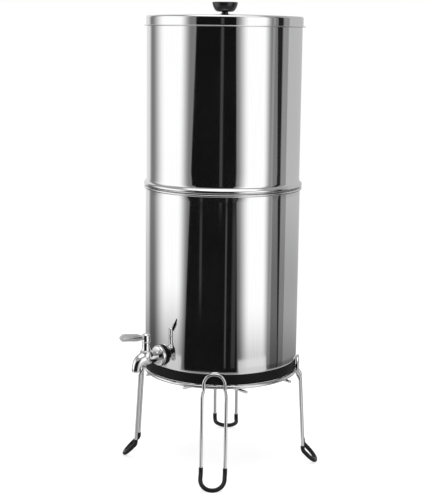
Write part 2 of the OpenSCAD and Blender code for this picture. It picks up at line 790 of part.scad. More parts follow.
module lever_set_screw() {
    color(black) difference() {
        at_valve(set_screw_z) translate([0, drive_w / 2, 0]) rotate([-90, 0, 0])
            cylinder(r = set_screw_r, h = neck_r - drive_w / 2 - 0.4);
        at_valve(set_screw_z) translate([0, neck_r - 1.6, 0]) rotate([-90, 0, 0]) hex_prism(1.4, 3);
    }
}

// ---- stand ----

module ring_torus() {
    rotate_extrude($fn = 180) translate([ring_line_r, ring_z]) circle(r = ring_r);
}

module stand_ring() {
    color(bright) ring_torus();
}

// Two wires under the ring along Y, and two under them along X
module cross_wires() {
    reach = sqrt(pow(ring_line_r + cross_end, 2) - pow(cross_spacing / 2, 2));
    color(bright) difference() {
        for (s = [-1, 1]) {
            rod([s * cross_spacing / 2, -reach, upper_wire_z], [s * cross_spacing / 2, reach, upper_wire_z], cross_r);
            rod([-reach, s * cross_spacing / 2, lower_wire_z], [reach, s * cross_spacing / 2, lower_wire_z], cross_r);
        }
        ring_torus();
    }
}

// Corners of one side of a leg's wire loop, from its arch to its foot; the leg points along +X
function leg_side(s) = [
    [arch_plane_r, s * arch_half, arch_top_z],
    [arch_plane_r, s * arch_half, kink_top_z],
    [leg_top_r, s * leg_half, kink_top_z - kink_h],
    [ankle_r, s * leg_half, ankle_z],
    [tip_r, s * leg_half, tip_z]];
// The arch and the foot are near half rounds, with a short straight at their tops
side_bends = [arch_half - crest_half, kink_bend_r, kink_bend_r, kink_bend_r, leg_half - crest_half];
function reversed(v) = [for (i = [len(v) - 1 : -1 : 0]) v[i]];
function tail(v, n) = [for (i = [n : len(v) - 1]) v[i]];
leg_path = concat(leg_side(1), reversed(leg_side(-1)));
leg_bends = concat(side_bends, reversed(side_bends));

// A sleeve follows the same wire from its top round the foot
function sleeve_end(s) = let (a = leg_side(s)[2], b = leg_side(s)[3])
    a + (b - a) * (a.z - sleeve_top_z) / (a.z - b.z);
sleeve_path = concat([sleeve_end(-1)], tail(leg_side(-1), 3), reversed(tail(leg_side(1), 3)), [sleeve_end(1)]);
sleeve_bends = concat([0], tail(side_bends, 3), reversed(tail(side_bends, 3)), [0]);

module leg(azimuth) {
    color(bright) difference() {
        rotate([0, 0, azimuth]) bent_wire(leg_path, leg_bends, leg_r, closed = true);
        ring_torus();
    }
}

module sleeve(azimuth) {
    color(rubber) rotate([0, 0, azimuth]) difference() {
        bent_wire(sleeve_path, sleeve_bends, sleeve_r);
        bent_wire(leg_path, leg_bends, leg_r + running_gap, closed = true);
        translate([0, -leg_w, -sleeve_d]) cube([2 * tip_r, 2 * leg_w, sleeve_d]);
    }
}

// ---- nodes ----

lid_shell();
lid_knob();
knob_washer();
knob_screw();
upper_chamber();
filter_base(-1);  // filter_base_left
filter_base(1);  // filter_base_right
filter_block(-1);  // filter_block_left
filter_block(1);  // filter_block_right
filter_top(-1);  // filter_top_left
filter_top(1);  // filter_top_right
element_washers();
wing_nuts();
blanking_plugs();
plug_washers();
plug_nuts();
lower_chamber();
base_ring();
tap_body();
tap_flange();
tap_outer_washer();
tap_inner_washer();
tap_nut();
tap_bonnet();
valve_plug();
stem_seals();
lever_cap();
tap_lever();
lever_set_screw();
stand_ring();
cross_wires();
leg(-45);  // leg_front_right
leg(45);  // leg_back_right
leg(135);  // leg_back_left
leg(225);  // leg_front_left
sleeve(-45);  // sleeve_front_right
sleeve(45);  // sleeve_back_right
sleeve(135);  // sleeve_back_left
sleeve(225);  // sleeve_front_left
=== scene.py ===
"""Studio scene of a gravity water filter with a tap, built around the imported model.

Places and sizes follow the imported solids. The visible shells, the tap, the wires and the filter elements
are made again here as finer meshes, and small inner pieces keep their solids. Shapes are written in
millimetres and become metres when a piece is made.
"""
import math
from collections import namedtuple

import bmesh
import bpy
from mathutils import Matrix, Vector


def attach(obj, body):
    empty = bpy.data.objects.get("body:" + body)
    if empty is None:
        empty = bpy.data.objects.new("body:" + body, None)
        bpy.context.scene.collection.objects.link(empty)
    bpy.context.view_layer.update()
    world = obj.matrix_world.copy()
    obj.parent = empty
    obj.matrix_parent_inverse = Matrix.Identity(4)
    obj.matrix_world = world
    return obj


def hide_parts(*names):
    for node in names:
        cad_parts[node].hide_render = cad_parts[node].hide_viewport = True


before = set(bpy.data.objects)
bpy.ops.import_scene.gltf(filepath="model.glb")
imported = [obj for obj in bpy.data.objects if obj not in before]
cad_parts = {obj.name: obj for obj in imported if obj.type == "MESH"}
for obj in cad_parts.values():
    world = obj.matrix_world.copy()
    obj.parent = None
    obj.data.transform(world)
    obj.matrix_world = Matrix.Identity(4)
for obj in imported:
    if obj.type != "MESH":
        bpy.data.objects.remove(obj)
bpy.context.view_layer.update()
MM = 0.001

# ---- sizes in millimetres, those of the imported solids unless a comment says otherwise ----

# _R is a radius, _Z a height over the floor, _U a distance out along the tap's axis, and _LINE the
# radius and height of an arc's centre. Angles are in degrees.
SHEET = 0.8
LID_SHEET = 0.7
LOWER_R = 108.0
LOWER_Z = 152.7
LOWER_RISE = 3.0                   # how far the lower chamber's floor is raised within RISE_R
RISE_R = 94.0
RIM_LINE = (108.9, 399.0)
RIM_ROLL = 1.3                     # radius of the rim's roll, at the middle of the sheet
UPPER_R = 106.9
UPPER_Z = 388.13
CORNER = 4.6                       # radius of a chamber's corner, at the middle of the sheet
BEAD_LINE = (107.2, 404.13)
BEAD_MID = 3.0
BEAD_START = -103.5                # where the bead leaves the wall below it
FILLET_LINE = (112.9, 411.6)
FILLET_MID = 6.4
BEAD_TURN = 52.7                   # where the bead passes into the hollow curve above it
BRIM_LINE = (104.9, 631.04)
BRIM_ROLL = 1.6
HOLE_SPACING = 96.0
HOLE_R = 5.4
LID_WALL_R = 107.55
LID_FOOT_Z = 620.04
LID_FLANGE_R = 111.1
LID_HEM_R = 0.7                    # the flange's edge is folded over
LID_HOLE_R = 2.7
LID_SHOULDER = 2.65
LID_TOP_Z = 636.34
CROWN_R = 2393.3
KNOB_Z = 639.74
KNOB_H = 13.2
KNOB_TOP_R = 17.7
KNOB_FOOT_R = 11.9
KNOB_NECK_R = 4.5
KNOB_COLLAR_R = 6.2
TAP_Z = 172.2
SHANK_R = 7.25
SHANK_THREAD = (1.25, 0.45)        # pitch and depth, on solids that are plain
SHANK_END_U = 94.5
TAP_HOLE_R = 7.55
FLANGE_U = (110.6, 116.3)
FLANGE_R = 14.2
VALVE_U = 135.0
BEND_U = 138.5
SPOUT_BEND_R = 13.0
MOUTH_Z = 155.8
HUB_R = 8.2
VALVE_BODY_R = 9.1
MOUTH_R = 6.2
BORE_R = 4.2
BOSS_R = 8.0
BOSS_Z = 181.3
NECK_R = 5.1                       # 0.3 less than the solid's
NECK_FLARE = (3.2, 8.5)            # how far the neck spreads at its foot, and over what height
NECK_TOP_Z = 194.2
CAP_SIDE_R = 5.5                   # 0.1 more than the solid's
CAP_DOME = 3                       # height of the cap's dome
CAP_Z = 194.5
CAP_TOP_Z = 207.5
LEVER_Z = 200.8
LEVER_ROOT = 4.2
LEVER_TILT = 8.5
LEVER_L = 45.5
LEVER_H = 10.2
LEVER_T = 3.4
RING_LINE_R = 107.185
RING_Z = 137.5
RING_R = 2.5
LEG_R = 2.25
CROSS_R = 2.0
CROSS_HALF = 41.0
CROSS_REACH = 102.8
CROSS_LEVELS = (133.4, 130.2)
LEG_WELD = (2.0, 2.2, 2.9)         # half sizes of the weld nuggets: leg to ring, bar to ring, bar to bar
RING_WELD = (2.4, 2.4, 1.6)
CROSS_WELD = (1.9, 1.9, 1.5)
LEG_WELD_R = 108.55
RING_WELD_DROP = 2.3               # below the ring's centre line
ARCH_R = 110.55
ARCH_HALF = 14.5
ARCH_TOP_Z = 156.0
LEG_HALF = 16.5
LEG_TOP_R = 114.95
KINK_Z = (133.5, 127.0)
ANKLE = (121.25, 21.0)             # radius and height of the bends in a leg's line
TIP = (139.65, 2.6)
LEG_BENDS = (14.0, 8.0, 8.0, 8.0, 16.0)
SLEEVE_R = 3.0
SLEEVE_GAP = 0.05
SLEEVE_LIP = ((0.0, 0.45), (0.25, 0.12), (0.7, 0.0))    # distances from its end, and how much thinner there
SLEEVE_TOP_Z = 28.0
ELEMENT_Z = 391.43
BLOCK_Z = 397.43
BLOCK_R = 28.0
BLOCK_H = 212.0
CAP_R = 29.25
CAP_WALL = 1.2
STEM_R = 5.0
STEM_L = 28.0
STEM_THREAD = (1.5, 0.5)

# Fineness of the meshes: steps round the chambers and the lid, and heights of the rows in their walls
ROUND_STEPS = 256
LID_ROWS = (628.0, 624.0)
UPPER_ROWS = (430, 460, 500, 540, 580, 610)
LOWER_ROWS = (165, 180, 200, 240, 280, 320, 360, 390)
SHARP = 35.0                       # an edge between faces that turn by more than this looks sharp


# ---- outlines ----

def arc(centre, radius, start, stop, steps):
    """Points on an arc from one angle to another, in degrees."""
    angles = [math.radians(start + (stop - start) * i / steps) for i in range(steps + 1)]
    return [(centre[0] + radius * math.cos(a), centre[1] + radius * math.sin(a)) for a in angles]


def rounded(corners, radii, step=15.0):
    """An outline or a line with its corners rounded; a corner with radius 0 stays sharp.

    The corners may lie in a plane or in space. The list is closed: its last corner meets its first.
    """
    points = []
    for i, corner in enumerate(corners):
        corner, radius = Vector(corner), radii[i]
        before, after = Vector(corners[i - 1]), Vector(corners[(i + 1) % len(corners)])
        into, out = (corner - before).normalized(), (after - corner).normalized()
        turn = into.angle(out) if radius else 0.0
        if turn < 1e-3:
            points.append(corner)
            continue
        reach = radius * math.tan(turn / 2)
        inward = (out - into * into.dot(out)).normalized()
        centre = corner - into * reach + inward * radius
        count = max(2, math.ceil(math.degrees(turn) / step))
        for k in range(count + 1):
            a = turn * k / count
            points.append(centre - inward * (radius * math.cos(a)) + into * (radius * math.sin(a)))
    return points


def side_of(direction):
    """The direction to the left of a direction in the plane."""
    return Vector((-direction[1], direction[0]))


def sheet_section(midline, thickness):
    """Closed outline of a sheet along a midline that starts at or near the axis; its far edge is round."""
    points = [Vector(p) for p in midline]
    half = thickness / 2
    left, right = [], []
    for i, p in enumerate(points):
        into = (p - points[i - 1]).normalized() if i else None
        out = (points[i + 1] - p).normalized() if i < len(points) - 1 else into
        into = into or out
        normal = (side_of(into) + side_of(out)).normalized()
        reach = half / max(normal.dot(side_of(into)), 0.4)
        left.append(p + normal * reach)
        right.append(p - normal * reach)
    last = (points[-1] - points[-2]).normalized()
    edge = [points[-1] + side_of(last) * (half * math.cos(math.radians(a)))
            + last * (half * math.sin(math.radians(a))) for a in (30, 60, 90, 120, 150)]
    return left + edge + right[::-1]


def grown(outline, distance):
    """A closed outline, run anticlockwise, moved out by a distance, or in where it is negative."""
    moved = []
    for i, p in enumerate(outline):
        into = (Vector(p) - Vector(outline[i - 1])).normalized()
        out = (Vector(outline[(i + 1) % len(outline)]) - Vector(p)).normalized()
        normal = -(side_of(into) + side_of(out)).normalized()
        moved.append(Vector(p) + normal * (distance / max(-normal.dot(side_of(into)), 0.5)))
    return moved


def circle(radius, z, count):
    """Points on a level circle about the vertical axis."""
    angles = [2 * math.pi * k / count for k in range(count)]
    return [Vector((radius * math.cos(a), radius * math.sin(a), z)) for a in angles]


# ---- meshes: each maker returns vertices in millimetres, and faces ----

def strip(rows, closed_rows, closed_ring=True):
    """Faces between rows of vertex numbers; a number that repeats along an edge collapses it."""
    faces = []
    pairs = list(zip(rows, rows[1:]))
    if closed_rows:
        pairs.append((rows[-1], rows[0]))
    for low, high in pairs:
        for k in range(len(low) if closed_ring else len(low) - 1):
            n = (k + 1) % len(low)
            face = []
            for v in (low[k], low[n], high[n], high[k]):
                if v not in face:
                    face.append(v)
            if len(face) > 2:
                faces.append(face)
    return faces


def revolved(section, steps=192):
    """A closed section (radius, height) turned about the vertical axis."""
    verts, rows = [], []
    for r, z in section:
        if r < 1e-4:
            rows.append([len(verts)] * steps)
            verts.append(Vector((0, 0, z)))
        else:
            rows.append(list(range(len(verts), len(verts) + steps)))
            verts += circle(r, z, steps)
    return verts, strip(rows, True)


def lofted(rings, capped=True, closed=False):
    """A skin over rings of points; the end rings are capped, or the last ring meets the first."""
    verts, rows = [], []
    for ring in rings:
        rows.append(list(range(len(verts), len(verts) + len(ring))))
        verts += [Vector(p) for p in ring]
    faces = strip(rows, closed)
    if capped and not closed:
        faces += [rows[0][::-1], rows[-1]]
    return verts, faces


def frames_along(line, closed=False):
    """Two directions across a line at each of its points, carried along it without twist."""
    count = len(line)
    tangents = []
    for i in range(count):
        before = line[i - 1] if closed or i else line[i]
        after = line[(i + 1) % count] if closed or i < count - 1 else line[i]
        tangents.append((after - before).normalized())
    across = tangents[0].orthogonal().normalized()
    result = []
    for tangent in tangents:
        across = (across - tangent * across.dot(tangent)).normalized()
        result.append([across, tangent.cross(across)])
    if closed:
        # The frame that comes round again is turned against the first: the turn is spread evenly
        again = (across - tangents[0] * across.dot(tangents[0])).normalized()
        slip = math.atan2(again.dot(result[0][1]), again.dot(result[0][0]))
        for i, (a, b) in enumerate(result):
            t = -slip * i / count
            result[i] = [a * math.cos(t) + b * math.sin(t), b * math.cos(t) - a * math.sin(t)]
    return result


def ring_at(point, frame_pair, radius, sides):
    across, up = frame_pair
    return [point + across * (radius * math.cos(2 * math.pi * k / sides))
            + up * (radius * math.sin(2 * math.pi * k / sides)) for k in range(sides)]


def wire(line, radius, sides=20, closed=False):
    """A round wire along a line; an open one has rounded ends."""
    line = [Vector(p) for p in line]
    pairs = frames_along(line, closed)
    rings = [ring_at(p, pair, radius, sides) for p, pair in zip(line, pairs)]
    if closed:
        return lofted(rings, closed=True)
    edge = radius * 0.45

    def rounded_end(tip, inward, pair):
        return [ring_at(tip + inward * (edge * (1 - math.sin(a))), pair,
                        radius - edge * (1 - math.cos(a)), sides) for a in (math.pi / 2, math.pi / 4, 0)]
    start = rounded_end(line[0], (line[1] - line[0]).normalized(), pairs[0])
    end = rounded_end(line[-1], (line[-2] - line[-1]).normalized(), pairs[-1])
    return lofted(start + rings[1:-1] + end[::-1])


def rod(radius, z0, z1, sides=64):
    return lofted([circle(radius, z, sides) for z in (z0, z1)])


def threaded(radius, z0, z1, pitch, depth, sides=40, rows_per_turn=8):
    """A rod with a helical thread, chamfered at both ends."""
    rings = []
    count = max(2, round((z1 - z0) / pitch * rows_per_turn))
    for j in range(count + 1):
        z = z0 + (z1 - z0) * j / count
        ends = min(1.0, (z - z0) / (depth * 1.4), (z1 - z) / (depth * 1.4))
        ring = []
        for k in range(sides):
            phase = (z / pitch - k / sides) % 1.0
            groove = depth * abs(2 * phase - 1)
            r = min(radius - groove, radius - depth * (1 - ends))
            a = 2 * math.pi * k / sides
            ring.append((r * math.cos(a), r * math.sin(a), z))
        rings.append(ring)
    return lofted(rings)


def moved(form, matrix):
    verts, faces = form
    return [matrix @ v for v in verts], faces


def joined(*forms):
    verts, faces = [], []
    for form_verts, form_faces in forms:
        faces += [[i + len(verts) for i in face] for face in form_faces]
        verts += form_verts
    return verts, faces


def turned(degrees, axis="Z"):
    return Matrix.Rotation(math.radians(degrees), 4, axis)


def at(x, y, z):
    return Matrix.Translation((x, y, z))


# On the tap's axis: local z runs outwards from the chambers' axis
TAP_AXIS = at(0, 0, TAP_Z) @ turned(90, "X")


def mesh_of(name, form):
    """A mesh in metres of a form in millimetres."""
    verts, faces = form
    mesh = bpy.data.meshes.new(name)
    mesh.from_pydata([v * MM for v in verts], [], faces)
    work = bmesh.new()
    work.from_mesh(mesh)
    bmesh.ops.remove_doubles(work, verts=work.verts, dist=1e-7)
    bmesh.ops.recalc_face_normals(work, faces=work.faces)
    work.to_mesh(mesh)
    work.free()
    return mesh


def linked(name, data):
    """A new object in the scene."""
    made = bpy.data.objects.new(name, data)
    bpy.context.scene.collection.objects.link(made)
    return made


def piece(name, form, look, body, nodes=(), sharp=SHARP):
    """Makes a shown piece from a form in millimetres; it rides on a body and may replace solids."""
    mesh = mesh_of(name, form)
    mesh.shade_smooth()
    mesh.set_sharp_from_angle(angle=math.radians(sharp))
    mesh.materials.append(look)
    made = linked(name, mesh)
    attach(made, body)
    if nodes:
        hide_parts(*nodes)
    return made


def cut(target, form):
    """Cuts a form out of a piece's mesh."""
    mesh = mesh_of("cutter", form)
    cutter = linked("cutter", mesh)
    step = target.modifiers.new("cut", "BOOLEAN")
    step.operation, step.solver, step.object = "DIFFERENCE", "EXACT", cutter
    bpy.context.view_layer.update()
    result = bpy.data.meshes.new_from_object(target.evaluated_get(bpy.context.evaluated_depsgraph_get()))
    target.modifiers.clear()
    old, target.data = target.data, result
    result.name = target.name
    bpy.data.meshes.remove(old)
    bpy.data.objects.remove(cutter)
    bpy.data.meshes.remove(mesh)
    result.shade_smooth()
    result.set_sharp_from_angle(angle=math.radians(SHARP))


# ---- materials ----

def add(tree, kind, inputs=None, **settings):
    """Adds a shader node; an input may be a value or the socket that feeds it."""
    node = tree.nodes.new(kind)
    for key, value in settings.items():
        setattr(node, key, value)
    for key, value in (inputs or {}).items():
        if isinstance(value, bpy.types.NodeSocket):
            tree.links.new(value, node.inputs[key])
        else:
            node.inputs[key].default_value = value
    return node


def maths(tree, operation, *values):
    return add(tree, "ShaderNodeMath", dict(enumerate(values)), operation=operation).outputs[0]


def ramped(tree, value, low, high, to_low, to_high, smooth=False):
    """Maps a value from one range to another, clamped."""
    return add(tree, "ShaderNodeMapRange", {0: value, 1: low, 2: high, 3: to_low, 4: to_high},
               interpolation_type="SMOOTHSTEP" if smooth else "LINEAR").outputs[0]


def principled(name, colour, roughness, metallic=0.0, **sockets):
    """A new material, its node tree, its shader and the object's own coordinates."""
    look = bpy.data.materials.new(name)
    look.use_nodes = True
    tree = look.node_tree
    shader = tree.nodes["Principled BSDF"]
    shader.inputs["Base Color"].default_value = (*colour, 1)
    shader.inputs["Roughness"].default_value = roughness
    shader.inputs["Metallic"].default_value = metallic
    for key, value in sockets.items():
        shader.inputs[key.replace("_", " ")].default_value = value
    return look, tree, shader, add(tree, "ShaderNodeTexCoord").outputs["Object"]


def noise(tree, place, scale, detail=3.0, roughness=0.5):
    return add(tree, "ShaderNodeTexNoise",
               {"Vector": place, "Scale": scale, "Detail": detail, "Roughness": roughness}).outputs[0]


def stretched(tree, place, factors):
    return add(tree, "ShaderNodeVectorMath", {0: place, 1: factors}, operation="MULTIPLY").outputs[0]


def bumped(tree, shader, heights):
    """Feeds the shader's normal from several (height, depth in metres) pairs."""
    normal = None
    for height, depth in heights:
        inputs = {"Strength": 1.0, "Distance": depth, "Height": height}
        if normal:
            inputs["Normal"] = normal
        normal = add(tree, "ShaderNodeBump", inputs).outputs[0]
    tree.links.new(normal, shader.inputs["Normal"])


def tinted(tree, shader, factor, low, high):
    """Varies the base colour between two colours."""
    mix = add(tree, "ShaderNodeMix", {"Factor": factor}, data_type="RGBA")
    mix.inputs[6].default_value, mix.inputs[7].default_value = (*low, 1), (*high, 1)
    tree.links.new(mix.outputs[2], shader.inputs["Base Color"])


def polished_steel(name, grain):
    """Mirror-polished sheet steel; grain is the direction in which the polish lines stay unbroken."""
    look, tree, shader, place = principled(name, (0.80, 0.80, 0.805), 0.05, metallic=1.0)
    lines = noise(tree, stretched(tree, place, grain), 900.0, 4.0, 0.6)
    cloud = noise(tree, place, 14.0, 2.0)
    wave = noise(tree, stretched(tree, place, (1.0, 1.0, 0.45)), 9.0, 1.0)
    haze = maths(tree, "MULTIPLY", lines, cloud)
    tree.links.new(ramped(tree, haze, 0.1, 0.45, 0.03, 0.085), shader.inputs["Roughness"])
    tinted(tree, shader, ramped(tree, lines, 0.3, 0.7, 0.0, 1.0), (0.775, 0.775, 0.78), (0.82, 0.82, 0.82))
    bumped(tree, shader, [(wave, 0.00008), (lines, 0.0000012)])
    return look


def satin_steel(name):
    """Spun satin steel: the chambers' insides."""
    look, tree, shader, place = principled(name, (0.62, 0.62, 0.63), 0.3, metallic=1.0)
    lines = noise(tree, stretched(tree, place, (0.05, 0.05, 1.0)), 1400.0, 4.0, 0.65)
    tree.links.new(ramped(tree, lines, 0.25, 0.75, 0.22, 0.38), shader.inputs["Roughness"])
    tinted(tree, shader, lines, (0.56, 0.56, 0.57), (0.68, 0.68, 0.69))
    bumped(tree, shader, [(lines, 0.000004)])
    return look


def plated(name, colour, low, high, scale):
    """Bright plated metal with a faint orange-peel surface; low and high bound its roughness."""
    look, tree, shader, place = principled(name, colour, low, metallic=1.0)
    cloud = noise(tree, place, scale, 3.0)
    tree.links.new(ramped(tree, cloud, 0.3, 0.7, low, high), shader.inputs["Roughness"])
    tinted(tree, shader, cloud, [c * 0.96 for c in colour], colour)
    bumped(tree, shader, [(noise(tree, place, scale * 3, 2.0), 0.000012)])
    return look


def moulded(name, colour, low, high, grain_depth, grain_scale, coat=0.0, specular=0.5):
    """Moulded plastic or rubber: its colour, and its roughness from low to high, vary over a fine grain."""
    look, tree, shader, place = principled(name, colour, low, Coat_Weight=coat, Coat_Roughness=0.06,
                                           Specular_IOR_Level=specular)
    cloud = noise(tree, place, 60.0, 4.0)
    tree.links.new(ramped(tree, cloud, 0.3, 0.7, low, high), shader.inputs["Roughness"])
    tinted(tree, shader, cloud, [c * 0.75 for c in colour], [c * 1.3 for c in colour])
    bumped(tree, shader, [(noise(tree, place, grain_scale, 3.0, 0.6), grain_depth)])
    return look


def pressed_carbon(name):
    """Pressed carbon: dark grains of many sizes."""
    look, tree, shader, place = principled(name, (0.05, 0.05, 0.052), 0.8)
    grains = add(tree, "ShaderNodeTexVoronoi", {"Vector": place, "Scale": 900.0}).outputs["Distance"]
    cloud = noise(tree, place, 180.0, 5.0, 0.7)
    tinted(tree, shader, cloud, (0.025, 0.025, 0.027), (0.085, 0.085, 0.09))
    bumped(tree, shader, [(grains, 0.0004), (cloud, 0.0004)])
    return look


STEEL_WALL = polished_steel("steel_wall", (1.0, 1.0, 0.02))
STEEL_LID = polished_steel("steel_lid", (0.03, 0.03, 1.0))
STEEL_INSIDE = satin_steel("steel_inside")
TAP_CHROME = plated("tap_chrome_look", (0.83, 0.83, 0.84), 0.03, 0.09, 120.0)
WIRE_CHROME = plated("wire_chrome_look", (0.78, 0.78, 0.79), 0.06, 0.16, 200.0)
SCREW_STEEL = plated("screw_steel_look", (0.66, 0.66, 0.67), 0.18, 0.32, 300.0)
KNOB_PLASTIC = moulded("knob_plastic", (0.012, 0.012, 0.013), 0.12, 0.2, 0.000006, 900.0, coat=0.3)
ELEMENT_PLASTIC = moulded("element_plastic_look", (0.03, 0.03, 0.032), 0.42, 0.55, 0.00002, 1500.0)
BLACK_RUBBER = moulded("black_rubber_look", (0.006, 0.006, 0.0065), 0.45, 0.56, 0.00002, 1200.0,
                       specular=0.12)
SLEEVE_VINYL = moulded("sleeve_vinyl", (0.006, 0.006, 0.0065), 0.26, 0.38, 0.00001, 700.0, specular=0.3)
CARBON = pressed_carbon("carbon_look")


# ---- camera ----

AZIMUTH = 49.1            # of the camera, from the tap's side towards +X
DISTANCE = 1.7118         # metres from the chambers' axis
HEIGHT = 0.6153
YAW, PITCH, ROLL = 0.215, 10.07, -0.676
SENSOR = 36.0
FOCAL_PX = 1226.0
LONG_SIDE_PX = 495.0

side = Vector((math.cos(math.radians(AZIMUTH)), math.sin(math.radians(AZIMUTH)), 0))
ahead = Vector((-side.y, side.x, 0))


def set_camera():
    yaw, pitch, roll = (math.radians(v) for v in (YAW, PITCH, ROLL))
    forward = ((ahead * math.cos(yaw) - side * math.sin(yaw)) * math.cos(pitch)
               - Vector((0, 0, 1)) * math.sin(pitch))
    right = side * math.cos(yaw) + ahead * math.sin(yaw)
    down = forward.cross(right)
    right, down = (right * math.cos(roll) + down * math.sin(roll),
                   down * math.cos(roll) - right * math.sin(roll))
    camera = linked("camera", bpy.data.cameras.new("camera"))
    camera.data.sensor_width = SENSOR
    camera.data.lens = FOCAL_PX * SENSOR / LONG_SIDE_PX
    camera.data.clip_start, camera.data.clip_end = 0.05, 50.0
    camera.matrix_world = Matrix.Translation(-ahead * DISTANCE + Vector((0, 0, HEIGHT))) @ Matrix(
        (right, -down, -forward)).transposed().to_4x4()
    bpy.context.scene.camera = camera


# ---- studio ----

# Bearings are in degrees: 0 is the camera's side of the room and + its right. Each panel has its two
# edges, the softness of each, its brightness, and how far each edge moves for a degree below the horizon.
Panel = namedtuple("Panel", "left right soft_left soft_right level lean_left lean_right")
WALLS = 0.23                       # the dim room between the panels
BACKDROPS = [
    Panel(-200, -140, 10, 14, 0.84, 0, 0),              # white backdrop, at the left
    Panel(107.5, 200, 1.5, 10, 0.57, 0, 0),             # the same in the right panel's shade
    Panel(96, 108, 2, 1.5, 0.33, 0, 0),                 # its darker edge
]
SOFTBOXES = [
    Panel(-114, -58.5, 34, 19, 1.25, 0.5, -0.25),       # large, at the left
    Panel(26.5, 66.5, 20, 15, 1.25, 0.5, 0.3),          # large, at the right
    Panel(74.5, 79, 3, 2, 0.35, 0, 0),                  # its side
]
DARK_PANELS = [
    Panel(83.8, 94, 1.5, 1.5, 0.018, 0.68, 0.15),       # the right softbox's black frame
    Panel(-41.5, 16.6, 1.5, 1.5, 0.0065, -1.0, 0.5),    # the dark side, where the camera stands
]
# Faint upright glints on the dark side: bearing, half width, lowest and highest rise, brightness
GLINTS = [(-3.0, 2.0, -8.0, 4.0, 0.06), (6.0, 1.2, -16.0, -8.0, 0.07), (-31.5, 1.8, -12.5, -8.0, 0.045),
          (18.0, 3.0, -16.0, -8.0, 0.04)]
LEAN_DEPTH = 15.0                  # degrees below the horizon over which the panels' edges lean
# Near the floor the room gets darker: lowest and highest rise, and the share of light at the lowest
BACKDROP_FOOT = (-12.0, -7.0, 0.75)
SOFTBOX_FOOT = (-16.0, -11.3, 0.35)
RIGHT_FOOT_DROP = 1.2              # degrees that the right softbox reaches lower than the left one
# Above the panels it is dim, and a softbox hangs overhead: from one rise to the next, to a brightness
OVERHEAD = [(24, 42, 0.4), (56, 66, 1.8)]
PLAIN_LIGHT = 0.6                  # the world's even light for rays that no mirror sends on
# Name, place in metres, width in metres and power in watts
LAMPS = [
    ("lamp_top", (0.2, -0.3, 2.4), 2.2, 22.0),
    ("lamp_left", (-1.6, -1.4, 1.5), 1.4, 9.0),
    ("lamp_right", (2.0, 0.4, 1.5), 1.4, 9.0),
]
LAMPS_AIM = (0, 0, 0.3)
FLOOR_HALF = 6.0
FLOOR_DIFFUSE = 0.6
FLOOR_GLOW = 0.64
FLOOR_FADE = (0.3, 0.9)            # metres from the axis over which the floor turns plain white
# Where polished metal sees the floor lit: bearings from and to, metres from the axis and how bright.
# Beyond these it sees the room.
FLOOR_LIT = [(-200, 200, 0.52, 0.3), (-82, -57, 0.75, 0.5), (24, 67, 0.745, 0.6)]


def bearing_of(tree, place):
    """Bearing of a direction or place in degrees, and its distance from the axis."""
    def along(direction):
        node = add(tree, "ShaderNodeVectorMath", {0: place, 1: direction}, operation="DOT_PRODUCT")
        return node.outputs["Value"]
    to_right, to_camera = along(side), along(-ahead)
    angle = maths(tree, "ARCTAN2", to_right, to_camera)
    squares = (maths(tree, "MULTIPLY", part, part) for part in (to_right, to_camera))
    far = maths(tree, "SQRT", maths(tree, "ADD", *squares))
    return maths(tree, "MULTIPLY", angle, 180 / math.pi), far


def mirror_ray(tree, rays):
    """1 for a ray that a mirror or glass sends on, and 0 for others."""
    return maths(tree, "MAXIMUM", rays.outputs["Is Glossy Ray"], rays.outputs["Is Transmission Ray"])


def between(tree, value, low, high, soft_low, soft_high):
    """1 inside a range and 0 outside it, with soft edges that are centred on the range's ends."""
    rise = ramped(tree, value, low - soft_low / 2, low + soft_low / 2, 0.0, 1.0, smooth=True)
    fall = ramped(tree, value, high - soft_high / 2, high + soft_high / 2, 1.0, 0.0, smooth=True)
    return maths(tree, "MULTIPLY", rise, fall)


def towards(tree, level, target, factor):
    """A level moved towards a target by a factor."""
    gap = maths(tree, "SUBTRACT", target, level)
    return maths(tree, "ADD", level, maths(tree, "MULTIPLY", gap, factor))


def with_panels(tree, level, panels, bearing, below):
    """Hangs panels before a level; below is how many degrees the direction points below the horizon."""
    def past(edge, lean):
        shift = maths(tree, "MULTIPLY", below, lean)
        return maths(tree, "SUBTRACT", maths(tree, "SUBTRACT", bearing, shift), edge)
    for panel in panels:
        left, right = panel.soft_left / 2, panel.soft_right / 2
        rise = ramped(tree, past(panel.left, panel.lean_left), -left, left, 0.0, 1.0, smooth=True)
        fall = ramped(tree, past(panel.right, panel.lean_right), -right, right, 1.0, 0.0, smooth=True)
        level = towards(tree, level, panel.level, maths(tree, "MULTIPLY", rise, fall))
    return level


def dimmed(tree, level, rise, foot):
    """A level that falls to a share of itself between two rises."""
    low, high, share = foot
    return maths(tree, "MULTIPLY", level, ramped(tree, rise, low, high, share, 1.0, smooth=True))


